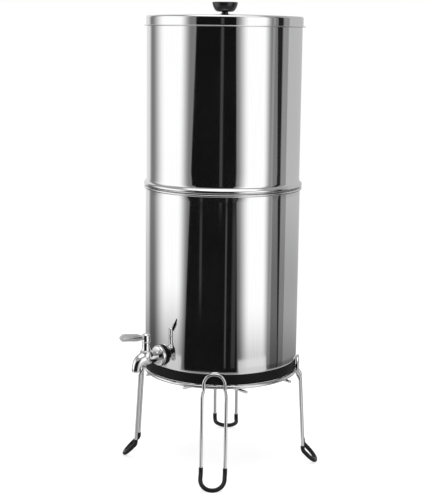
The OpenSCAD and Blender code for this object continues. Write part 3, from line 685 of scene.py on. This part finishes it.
def studio_level(tree, direction):
    """Brightness of the studio in a direction, as polished metal sees it."""
    bearing, _ = bearing_of(tree, direction)
    height = add(tree, "ShaderNodeSeparateXYZ", {0: direction}).outputs[2]
    rise = maths(tree, "MULTIPLY", maths(tree, "ARCSINE", height), 180 / math.pi)
    below = ramped(tree, rise, -LEAN_DEPTH, 0.0, LEAN_DEPTH, 0.0)
    level = with_panels(tree, WALLS, BACKDROPS, bearing, below)
    level = dimmed(tree, level, rise, BACKDROP_FOOT)
    level = with_panels(tree, level, SOFTBOXES, bearing, below)
    drop = ramped(tree, bearing, -30, 0, 0.0, RIGHT_FOOT_DROP)
    level = dimmed(tree, level, maths(tree, "ADD", rise, drop), SOFTBOX_FOOT)
    level = with_panels(tree, level, DARK_PANELS, bearing, below)
    for middle, half, lowest, highest, glint in GLINTS:
        column = between(tree, bearing, middle - half, middle + half, half, half)
        shown = maths(tree, "MULTIPLY", column, between(tree, rise, lowest, highest, 2.0, 2.0))
        level = maths(tree, "ADD", level, maths(tree, "MULTIPLY", glint, shown))
    for low, high, brightness in OVERHEAD:
        level = towards(tree, level, brightness, ramped(tree, rise, low, high, 0.0, 1.0, smooth=True))
    return level


def set_world():
    world = bpy.data.worlds.new("studio")
    bpy.context.scene.world = world
    world.use_nodes = True
    tree = world.node_tree
    tree.nodes.clear()
    direction = add(tree, "ShaderNodeTexCoord").outputs["Generated"]
    rays = add(tree, "ShaderNodeLightPath")
    plain = towards(tree, PLAIN_LIGHT, studio_level(tree, direction), mirror_ray(tree, rays))
    shown = towards(tree, plain, 1.0, rays.outputs["Is Camera Ray"])
    light = add(tree, "ShaderNodeBackground", {"Color": (1, 1, 1, 1), "Strength": shown})
    add(tree, "ShaderNodeOutputWorld", {"Surface": light.outputs[0]})


def set_lamps():
    for name, place, size, power in LAMPS:
        data = bpy.data.lights.new(name, "AREA")
        data.shape, data.size, data.energy = "DISK", size, power
        lamp = linked(name, data)
        lamp.location = place
        lamp.rotation_euler = (Vector(LAMPS_AIM) - Vector(place)).to_track_quat("-Z", "Y").to_euler()
        lamp.visible_glossy = lamp.visible_camera = False


def set_floor():
    mesh = bpy.data.meshes.new("floor")
    h = FLOOR_HALF
    mesh.from_pydata([(-h, -h, 0), (h, -h, 0), (h, h, 0), (-h, h, 0)], [], [(0, 1, 2, 3)])
    floor = linked("floor", mesh)
    look = bpy.data.materials.new("floor_look")
    look.use_nodes = True
    tree = look.node_tree
    tree.nodes.clear()
    place = add(tree, "ShaderNodeNewGeometry").outputs["Position"]
    bearing, far = bearing_of(tree, place)
    rays = add(tree, "ShaderNodeLightPath")
    # The floor glows a little, so that it stays white but for the shadow close to the feet
    shaded = add(tree, "ShaderNodeBsdfDiffuse", {"Color": (*[FLOOR_DIFFUSE] * 3, 1)}).outputs[0]
    glow = add(tree, "ShaderNodeEmission", {"Color": (1, 1, 1, 1), "Strength": FLOOR_GLOW}).outputs[0]
    lit = add(tree, "ShaderNodeAddShader", {0: shaded, 1: glow}).outputs[0]
    white = add(tree, "ShaderNodeEmission", {"Color": (1, 1, 1, 1), "Strength": 1.0}).outputs[0]
    through = add(tree, "ShaderNodeBsdfTransparent").outputs[0]
    fade = ramped(tree, far, *FLOOR_FADE, 0.0, 1.0, smooth=True)
    seen = add(tree, "ShaderNodeMixShader", {0: fade, 1: lit, 2: white}).outputs[0]
    # Mirrors see no floor but its lit patches
    bright = 0.0
    for left, right, reach, level in FLOOR_LIT:
        near = ramped(tree, far, reach - 0.01, reach + 0.01, level, 0.0, smooth=True)
        patch = maths(tree, "MULTIPLY", near, between(tree, bearing, left, right, 3, 3))
        bright = maths(tree, "MAXIMUM", bright, patch)
    mirrored = add(tree, "ShaderNodeMixShader", {0: bright, 1: through, 2: white}).outputs[0]
    by_ray = {0: mirror_ray(tree, rays), 1: seen, 2: mirrored}
    surface = add(tree, "ShaderNodeMixShader", by_ray).outputs[0]
    add(tree, "ShaderNodeOutputMaterial", {"Surface": surface})
    mesh.materials.append(look)


# ---- lid ----

def lid_pan():
    """The crowned lid with its wall, and a flange whose edge is folded over."""
    crown_line = LID_TOP_Z - CROWN_R
    mid_r = CROWN_R - LID_SHEET / 2
    line = [(r, crown_line + math.sqrt(mid_r ** 2 - r ** 2)) for r in (LID_HOLE_R, 8, 20, 40, 60, 80, 95)]
    line += arc(BRIM_LINE, LID_SHOULDER, 88, 0, 10)
    line += [(LID_WALL_R, z) for z in LID_ROWS]
    foot_z = LID_FOOT_Z + LID_SHEET / 2
    bend_r = 0.9
    line += arc((LID_WALL_R + bend_r, foot_z + bend_r), bend_r, 180, 270, 5)
    line += [(LID_FLANGE_R - LID_SHEET / 2, foot_z)]
    hem = arc((LID_FLANGE_R - LID_HEM_R, foot_z + 0.1), LID_HEM_R, 0, 330, 11)
    form = joined(revolved(sheet_section(line, LID_SHEET), ROUND_STEPS), revolved(hem, ROUND_STEPS))
    piece("lid_pan", form, STEEL_LID, "lid", ["lid_shell"])


def lid_knob():
    """The knob's side bulges, its top is dished, and its neck stands on a small collar."""
    bulge_r = 22.0
    foot, brow = Vector((KNOB_FOOT_R, 0)), Vector((KNOB_TOP_R, KNOB_H - 1.1))
    chord = brow - foot
    depth = math.sqrt(bulge_r ** 2 - (chord.length / 2) ** 2)
    centre = (foot + brow) / 2 + side_of(chord.normalized()) * depth
    start, stop = (math.degrees(math.atan2(*(p - centre).yx)) for p in (foot, brow))
    flank = arc(centre, bulge_r, start, stop, 14)
    rim_r, sunk = 15.7, 0.7
    dish_r = (rim_r ** 2 + sunk ** 2) / (2 * sunk)
    dish = [(r, KNOB_H + dish_r - sunk - math.sqrt(dish_r ** 2 - r ** 2)) for r in (15.2, 12, 8, 4, 0)]
    neck_z, hollow, round_r = -3.4, 0.9, 1.2
    outline = [(0, neck_z), (KNOB_COLLAR_R, neck_z), (KNOB_COLLAR_R, neck_z + 0.9),
               (KNOB_NECK_R, neck_z + 1.3), (KNOB_NECK_R, -hollow)]
    outline += arc((KNOB_NECK_R + hollow, -hollow), hollow, 180, 90, 4)[1:] + [(KNOB_FOOT_R - round_r, 0)]
    outline += flank[2:-1]
    outline += arc((KNOB_TOP_R - 1.25, KNOB_H - round_r), round_r, 10, 90, 6) + dish
    form = moved(revolved(outline, 128), at(0, 0, KNOB_Z))
    piece("knob", form, KNOB_PLASTIC, "lid", ["lid_knob"])


# ---- chambers ----

FLOOR_EDGE = 0.1035                # metres from the axis to the edge of a chamber's floor
BRIM_LEVEL = 0.6                   # metres; faces above it that look up belong to the upper brim


def inside_satin(made):
    """Gives the faces that look towards the axis, or up from a floor, the satin inside finish."""
    made.data.materials.append(STEEL_INSIDE)
    for face in made.data.polygons:
        out = Vector((face.center.x, face.center.y, 0))
        flat_floor = face.normal.z > 0.5 and out.length < FLOOR_EDGE and face.center.z < BRIM_LEVEL
        if flat_floor or (out.length > 0.01 and face.normal.dot(out.normalized()) < -0.3):
            face.material_index = 1


def upper_pot():
    """The upper chamber's sheet: floor, corner, bead, hollow curve above it, wall and rolled brim."""
    floor_mid = UPPER_Z + SHEET / 2
    wall_mid = UPPER_R - SHEET / 2
    line = [(0, floor_mid), (20, floor_mid), (75, floor_mid)]
    line += arc((wall_mid - CORNER, floor_mid + CORNER), CORNER, -90, 0, 8)
    line += arc(BEAD_LINE, BEAD_MID, BEAD_START, BEAD_TURN, 20)
    line += arc(FILLET_LINE, FILLET_MID, 180 + BEAD_TURN, 180, 10)[1:]
    line += [(wall_mid, z) for z in UPPER_ROWS]
    line += arc(BRIM_LINE, BRIM_ROLL, 0, 270, 20)
    made = piece("upper_pot", revolved(sheet_section(line, SHEET), ROUND_STEPS), STEEL_WALL,
                 "upper_unit", ["upper_chamber"])
    for k in range(4):
        hole = moved(rod(HOLE_R, UPPER_Z - 2, UPPER_Z + 3), turned(90 * k) @ at(HOLE_SPACING / 2, 0, 0))
        cut(made, hole)
    inside_satin(made)


def lower_pot():
    """The lower chamber's sheet: raised floor, step, corner, wall and rolled rim, with the tap's hole."""
    floor_mid = LOWER_Z + SHEET / 2
    wall_mid = LOWER_R - SHEET / 2
    step_r = RISE_R + SHEET / 2
    raised = floor_mid + LOWER_RISE
    bend_r = 1.0
    line = [(0, raised), (30, raised), (70, raised)]
    line += arc((step_r - bend_r, raised - bend_r), bend_r, 90, 0, 4)
    line += arc((step_r + bend_r, floor_mid + bend_r), bend_r, 180, 270, 4)
    line += arc((wall_mid - CORNER, floor_mid + CORNER), CORNER, -90, 0, 8)
    line += [(wall_mid, z) for z in LOWER_ROWS]
    line += arc(RIM_LINE, RIM_ROLL, 180, -90, 20)
    made = piece("lower_pot", revolved(sheet_section(line, SHEET), ROUND_STEPS), STEEL_WALL,
                 "lower_unit", ["lower_chamber"])
    cut(made, moved(rod(TAP_HOLE_R, LOWER_R - 5, LOWER_R + 5), TAP_AXIS))
    inside_satin(made)


def base_ring():
    """The black ring under the lower chamber: a foot, a lip outside and an upstand inside."""
    inside_r, upstand_r, seat_r, outside_r = 89.7, 93.7, 98.8, 107.8
    foot_z, lip_z, upstand_z = 140.3, LOWER_Z + 1.5, 155.4
    # The lip follows the chamber's corner with a small gap
    corner, hollow_r = (LOWER_R - 5, LOWER_Z + 5), 5.05
    meet = math.degrees(math.asin((lip_z - corner[1]) / hollow_r))
    outline = [(inside_r, foot_z), (outside_r, foot_z), (outside_r, lip_z)]
    outline += arc(corner, hollow_r, meet, -88, 6)
    outline += [(seat_r, LOWER_Z), (upstand_r, LOWER_Z), (upstand_r, upstand_z), (inside_r, upstand_z)]
    radii = [0.8, 1.4, 0.35] + [0] * 7 + [0, 0.4, 0.5, 0.5]
    piece("black_base_ring", revolved(rounded(outline, radii, 30), 192), BLACK_RUBBER,
          "lower_unit", ["base_ring"])


# ---- tap ----

def ease(t):
    """Rises softly from 0 to 1."""
    t = min(max(t, 0.0), 1.0)
    return t * t * (3 - 2 * t)


def blended_min(a, b, width):
    """The smaller of two distances, rounded where they are alike."""
    h = max(width - abs(a - b), 0.0) / width
    return min(a, b) - h * h * width * 0.25


def bend_at(slope):
    """Distance out and height of the spout's centre line where it slopes down by an angle in radians."""
    return BEND_U + SPOUT_BEND_R * math.sin(slope), TAP_Z - SPOUT_BEND_R * (1 - math.cos(slope))


def across_spout(turn, slope):
    """Direction away from the spout's centre line where that slopes down by an angle in radians."""
    return Vector((math.cos(turn), -math.sin(turn) * math.sin(slope), math.sin(turn) * math.cos(slope)))


def spout_rings(sides):
    """Outer rings of the tap's cast body: along the axis, round the bend and down to the mouth."""
    straight_steps, bend_steps = 44, 40
    first_u = FLANGE_U[1] - 1.0
    stations = []
    for i in range(straight_steps + 1):
        u = first_u + (BEND_U - first_u) * i / straight_steps
        radius = HUB_R + (VALVE_BODY_R - HUB_R) * ease((u - FLANGE_U[1]) / (BEND_U - FLANGE_U[1]))
        stations.append((u, TAP_Z, 0.0, radius))
    for i in range(1, bend_steps + 1):
        slope = math.radians(90 * i / bend_steps)
        radius = VALVE_BODY_R + (MOUTH_R - VALVE_BODY_R) * ease(i / bend_steps)
        stations.append((*bend_at(slope), slope, radius))
    lip = 0.7
    stations.append((BEND_U + SPOUT_BEND_R, MOUTH_Z + lip, math.pi / 2, MOUTH_R))
    fillet, step = 2.4, 0.1
    rings = []
    for u, z, slope, radius in stations:
        centre = Vector((0, -u, z))
        ring = []
        for k in range(sides):
            out = across_spout(2 * math.pi * k / sides, slope)
            reach = radius
            # The round boss under the bonnet grows out of the body in a soft fillet
            while reach < radius + 9:
                p = centre + out * (reach + step)
                boss = max(math.hypot(p.x, p.y + VALVE_U) - BOSS_R, p.z - BOSS_Z, TAP_Z - p.z)
                if blended_min(reach + step - radius, boss, fillet) > 0:
                    break
                reach += step
            ring.append(centre + out * reach)
        rings.append(ring)
    for a in (30, 60, 90):
        r = MOUTH_R - lip * (1 - math.cos(math.radians(a)))
        z = MOUTH_Z + lip * (1 - math.sin(math.radians(a)))
        rings.append(mouth_ring(r, z, sides))
    return rings


def mouth_ring(radius, z, sides):
    """A level ring about the mouth's axis."""
    return [Vector((radius * math.cos(a), -(BEND_U + SPOUT_BEND_R) - radius * math.sin(a), z))
            for a in (2 * math.pi * k / sides for k in range(sides))]


def tap_casting():
    """The cast body with its water way, and the threaded shank behind it."""
    sides, bend_steps, chamfer = 96, 16, 0.3
    rings = spout_rings(sides)
    rings.append(mouth_ring(BORE_R + chamfer, MOUTH_Z, sides))
    # The water way, seen from below: up the mouth and back round the bend
    rings.append(mouth_ring(BORE_R, MOUTH_Z + chamfer, sides))
    for i in range(bend_steps, -1, -1):
        slope = math.radians(90 * i / bend_steps)
        u, z = bend_at(slope)
        centre = Vector((0, -u, z))
        rings.append([centre + across_spout(2 * math.pi * k / sides, slope) * BORE_R for k in range(sides)])
    piece("tap_casting", lofted(rings), TAP_CHROME, "lower_unit", ["tap_body"], sharp=50)
    shank = threaded(SHANK_R, SHANK_END_U, FLANGE_U[1] - 0.5, *SHANK_THREAD, sides=64)
    piece("tap_shank", moved(shank, TAP_AXIS), TAP_CHROME, "lower_unit", sharp=60)


def tap_rosette():
    """The flange against the wall, with a rounded edge and a shallow rise to the hub."""
    low, high = FLANGE_U
    edge = 2.6
    outline = [(SHANK_R + 0.05, low), (FLANGE_R - 0.4, low), (FLANGE_R, low + 0.4)]
    outline += arc((FLANGE_R - edge, high - edge), edge, 0, 82, 8) + [(HUB_R + 1.4, high + 0.15)]
    outline += [(HUB_R - 0.4, high + 0.15), (SHANK_R + 0.05, high - 0.3)]
    piece("tap_rosette", moved(revolved(outline, 128), TAP_AXIS), TAP_CHROME,
          "lower_unit", ["tap_flange"])


def tap_neck():
    """The bonnet: a plug sunk in the boss, a thin flange on it and a neck that flares towards it."""
    plug_r, plug_depth, flange_t, edge = 6.4, 3, 0.9, 0.4
    foot_z = BOSS_Z + flange_t
    spread, height = NECK_FLARE
    flare = [(NECK_R + spread * (1 - math.sin(a)), foot_z + height * (1 - math.cos(a)))
             for a in (math.pi / 2 * i / 10 for i in range(11))]
    outline = [(0, BOSS_Z - plug_depth), (plug_r, BOSS_Z - plug_depth), (plug_r, BOSS_Z)]
    outline += [(NECK_R + spread, BOSS_Z)] + flare
    outline += arc((NECK_R - edge, NECK_TOP_Z - edge), edge, 0, 90, 4) + [(0, NECK_TOP_Z)]
    piece("tap_neck", moved(revolved(outline, 96), at(0, -VALVE_U, 0)), TAP_CHROME,
          "lower_unit", ["tap_bonnet"])


def valve_cap():
    """The domed cap, with a rounded lip at its foot."""
    lip_r = 0.7
    dome_r = (CAP_SIDE_R ** 2 + CAP_DOME ** 2) / (2 * CAP_DOME)
    shoulder = math.degrees(math.asin((dome_r - CAP_DOME) / dome_r))
    outline = [(0, CAP_Z)] + arc((CAP_SIDE_R - 0.3, CAP_Z + lip_r), lip_r, -90, 60, 6)
    outline += [(CAP_SIDE_R, CAP_Z + 1.6), (CAP_SIDE_R, CAP_TOP_Z - CAP_DOME - 0.5)]
    outline += arc((0, CAP_TOP_Z - dome_r), dome_r, shoulder + 4, 90, 10)
    piece("valve_cap", moved(revolved(outline, 96), at(0, -VALVE_U, 0)), TAP_CHROME,
          "lever_unit", ["lever_cap"])


def lever_blade():
    """The blade: widest towards its pointed tip, bevelled, with a sunk panel in each side."""
    tip, half, waist = LEVER_L - LEVER_ROOT, LEVER_H / 2, 2.5
    wide_from, wide_to = 12, tip - 5.5
    lower_edge = [(0, -waist), (wide_from, -half), (wide_to, -half)]
    upper_edge = [(x, -y) for x, y in lower_edge[::-1]]
    outline = rounded(lower_edge + [(tip, 0)] + upper_edge, [0.8, 9, 2.2, 1.6, 2.2, 9, 0.8], 12)
    # How far the outline is moved out, and at which level, from the bevel to the sunk panel
    bevel = 0.9
    levels = [(0, -(LEVER_T / 2 - bevel))]
    for a in (30, 60, 90):
        levels.append((-bevel * (1 - math.cos(math.radians(a))),
                       -(LEVER_T / 2 - bevel + bevel * math.sin(math.radians(a)))))
    levels += [(-2.0, -LEVER_T / 2), (-2.25, -LEVER_T / 2 + 0.1), (-2.4, -LEVER_T / 2 + 0.45)]
    levels = levels[::-1] + [(d, -h) for d, h in levels]
    rings = [[(p.x, p.y, h) for p in grown(outline, d)] for d, h in levels]
    place = at(0, -VALVE_U, LEVER_Z) @ turned(-LEVER_TILT, "X") @ at(0, -LEVER_ROOT, 0)
    place = place @ turned(-90, "Z") @ turned(90, "X")
    piece("lever_blade", moved(lofted(rings), place), TAP_CHROME, "lever_unit",
          ["tap_lever"], sharp=28)


# ---- stand ----

def leg_side(s):
    """Corners of one side of a leg's wire loop, from the arch down to the foot; the leg points along +X."""
    arch = [(ARCH_R, s * ARCH_HALF, z) for z in (ARCH_TOP_Z, KINK_Z[0])]
    shin = [(r, s * LEG_HALF, z) for r, z in ((LEG_TOP_R, KINK_Z[1]), ANKLE, TIP)]
    return [Vector(p) for p in arch + shin]


def leg_line():
    return rounded(leg_side(1) + leg_side(-1)[::-1], LEG_BENDS + LEG_BENDS[::-1], 6)


def sleeve_line():
    """The sleeve's line: the leg's own line below the sleeve's top, from one side round to the other."""
    corners = leg_side(-1)[2:] + leg_side(1)[2:][::-1]
    bends = LEG_BENDS[3:]
    line = rounded(corners, (0, *bends, *bends[::-1], 0), 6)
    low = [p for p in line if p.z < SLEEVE_TOP_Z - 0.5]
    ends = [high + (under - high) * ((high.z - SLEEVE_TOP_Z) / (high.z - under.z))
            for high, under in ((corners[0], low[0]), (corners[-1], low[-1]))]
    return [ends[0]] + low + [ends[1]]


def sleeve():
    """A hollow sleeve with soft lips, pressed flat where it stands on the floor."""
    line = sleeve_line()
    first, last = (line[1] - line[0]).normalized(), (line[-1] - line[-2]).normalized()
    outer = [SLEEVE_R - thinner for _, thinner in SLEEVE_LIP]
    outer += [SLEEVE_R] * (len(line) - 2) + outer[::-1]
    line = ([line[0] + first * away for away, _ in SLEEVE_LIP] + line[1:-1]
            + [line[-1] - last * away for away, _ in SLEEVE_LIP[::-1]])
    pairs = frames_along(line)
    sides = 24
    rings = [ring_at(p, pair, r, sides) for p, pair, r in zip(line, pairs, outer)]
    rings = [[Vector((p.x, p.y, max(p.z, 0.0))) for p in ring] for ring in rings]
    inner = [ring_at(p, pair, LEG_R + SLEEVE_GAP, sides) for p, pair in zip(line, pairs)]
    return lofted(rings + inner[::-1], closed=True)


# Names and azimuths of the legs
LEGS = (("front_right", -45), ("back_right", 45), ("back_left", 135), ("front_left", 225))


def ball(radii, sides=20, rings=10):
    """A ball stretched to three radii."""
    outline = [(math.sin(math.pi * i / rings), -math.cos(math.pi * i / rings)) for i in range(rings + 1)]
    form = revolved(outline, sides)
    return moved(form, Matrix.Diagonal((*radii, 1)))


def stand():
    """The ring, the crossing bars with their weld nuggets, and the four legs with their sleeves."""
    piece("wire_ring", wire(circle(RING_LINE_R, RING_Z, 192), RING_R, 24, closed=True), WIRE_CHROME,
          "stand", ["stand_ring"])
    bars = []
    stops = (-CROSS_REACH, 0, CROSS_REACH)
    for s in (-1, 1):
        bars.append(wire([(s * CROSS_HALF, y, CROSS_LEVELS[0]) for y in stops], CROSS_R))
        bars.append(wire([(x, s * CROSS_HALF, CROSS_LEVELS[1]) for x in stops], CROSS_R))
    piece("wire_bars", joined(*bars), WIRE_CHROME, "stand", ["cross_wires"])
    welds = []
    for _, azimuth in LEGS:
        for s in (-1, 1):
            welds.append(moved(ball(LEG_WELD), turned(azimuth) @ at(LEG_WELD_R, s * ARCH_HALF, RING_Z)))
    reach = math.sqrt(RING_LINE_R ** 2 - CROSS_HALF ** 2)
    crossing_z = sum(CROSS_LEVELS) / 2
    for s in (-1, 1):
        for t in (-1, 1):
            welds.append(moved(ball(RING_WELD), at(s * CROSS_HALF, t * reach, RING_Z - RING_WELD_DROP)))
            welds.append(moved(ball(CROSS_WELD), at(s * CROSS_HALF, t * CROSS_HALF, crossing_z)))
    piece("weld_nuggets", joined(*welds), WIRE_CHROME, "stand")
    for name, azimuth in LEGS:
        turn = turned(azimuth)
        piece("wire_leg_" + name, moved(wire(leg_line(), LEG_R, 24, closed=True), turn), WIRE_CHROME,
              "stand", ["leg_" + name])
        piece("foot_sleeve_" + name, moved(sleeve(), turn), SLEEVE_VINYL,
              "stand", ["sleeve_" + name], sharp=50)


# ---- filter elements ----

def elements():
    """The two filter elements: a cup with its threaded stem, a carbon block and a top cap each."""
    foot_r, foot_h, cup_h = 13, 2, 14
    wall_r = CAP_R - CAP_WALL
    for name, s in (("left", -1), ("right", 1)):
        place = at(s * HOLE_SPACING / 2, 0, 0)
        base = [(0, ELEMENT_Z), (foot_r, ELEMENT_Z), (foot_r, ELEMENT_Z + foot_h),
                (CAP_R, ELEMENT_Z + foot_h), (CAP_R, ELEMENT_Z + cup_h), (wall_r, ELEMENT_Z + cup_h),
                (wall_r, BLOCK_Z), (0, BLOCK_Z)]
        cup = revolved(rounded(base, [0, 0.6, 0.8, 1.2, 0.5, 0.4, 0.4, 0], 30), 96)
        stem = threaded(STEM_R, ELEMENT_Z - STEM_L, ELEMENT_Z + 0.5, *STEM_THREAD)
        piece("element_cup_" + name, moved(joined(cup, stem), place), ELEMENT_PLASTIC,
              "upper_unit", ["filter_base_" + name])
        block = [(0, BLOCK_Z), (BLOCK_R, BLOCK_Z), (BLOCK_R, BLOCK_Z + BLOCK_H), (0, BLOCK_Z + BLOCK_H)]
        piece("element_block_" + name, moved(revolved(rounded(block, [0, 0.8, 0.8, 0]), 96), place), CARBON,
              "upper_unit", ["filter_block_" + name])
        top_z = BLOCK_Z + BLOCK_H
        top = [(wall_r, top_z - 8), (CAP_R, top_z - 8), (CAP_R, top_z + 4), (0, top_z + 4),
               (0, top_z), (wall_r, top_z)]
        piece("element_cap_" + name, moved(revolved(rounded(top, [0.4, 0.5, 1.5, 0, 0, 0.4], 20), 96), place),
              ELEMENT_PLASTIC, "upper_unit", ["filter_top_" + name])


# ---- solids that stay ----

# Each solid's material, and the width in millimetres of its broken edges
KEPT = {
    "knob_washer": (BLACK_RUBBER, 0.15), "knob_screw": (SCREW_STEEL, 0.2),
    "element_washers": (BLACK_RUBBER, 0.3), "wing_nuts": (SCREW_STEEL, 0.4),
    "blanking_plugs": (ELEMENT_PLASTIC, 0.25), "plug_washers": (BLACK_RUBBER, 0.3),
    "plug_nuts": (SCREW_STEEL, 0.35), "tap_outer_washer": (BLACK_RUBBER, 0.3),
    "tap_inner_washer": (BLACK_RUBBER, 0.3), "tap_nut": (SCREW_STEEL, 0.35),
    "valve_plug": (SCREW_STEEL, 0.15), "stem_seals": (BLACK_RUBBER, 0.0),
    "lever_set_screw": (SCREW_STEEL, 0.1),
}


def finish_kept_solids():
    """Gives the solids that stay their material and softly broken edges."""
    for name, (look, edge) in KEPT.items():
        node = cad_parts[name]
        node.data.materials.clear()
        node.data.materials.append(look)
        node.data.shade_smooth()
        weld = node.modifiers.new("weld", "WELD")
        weld.merge_threshold = 0.00001
        if edge:
            bevel = node.modifiers.new("edges", "BEVEL")
            bevel.width, bevel.segments = edge * MM, 2
            bevel.limit_method, bevel.angle_limit = "ANGLE", math.radians(40)
            bevel.harden_normals = True


bpy.context.scene.view_settings.view_transform = "Standard"
set_camera()
set_world()
set_lamps()
set_floor()
lid_pan()
lid_knob()
upper_pot()
lower_pot()
base_ring()
tap_casting()
tap_rosette()
tap_neck()
valve_cap()
lever_blade()
stand()
elements()
finish_kept_solids()
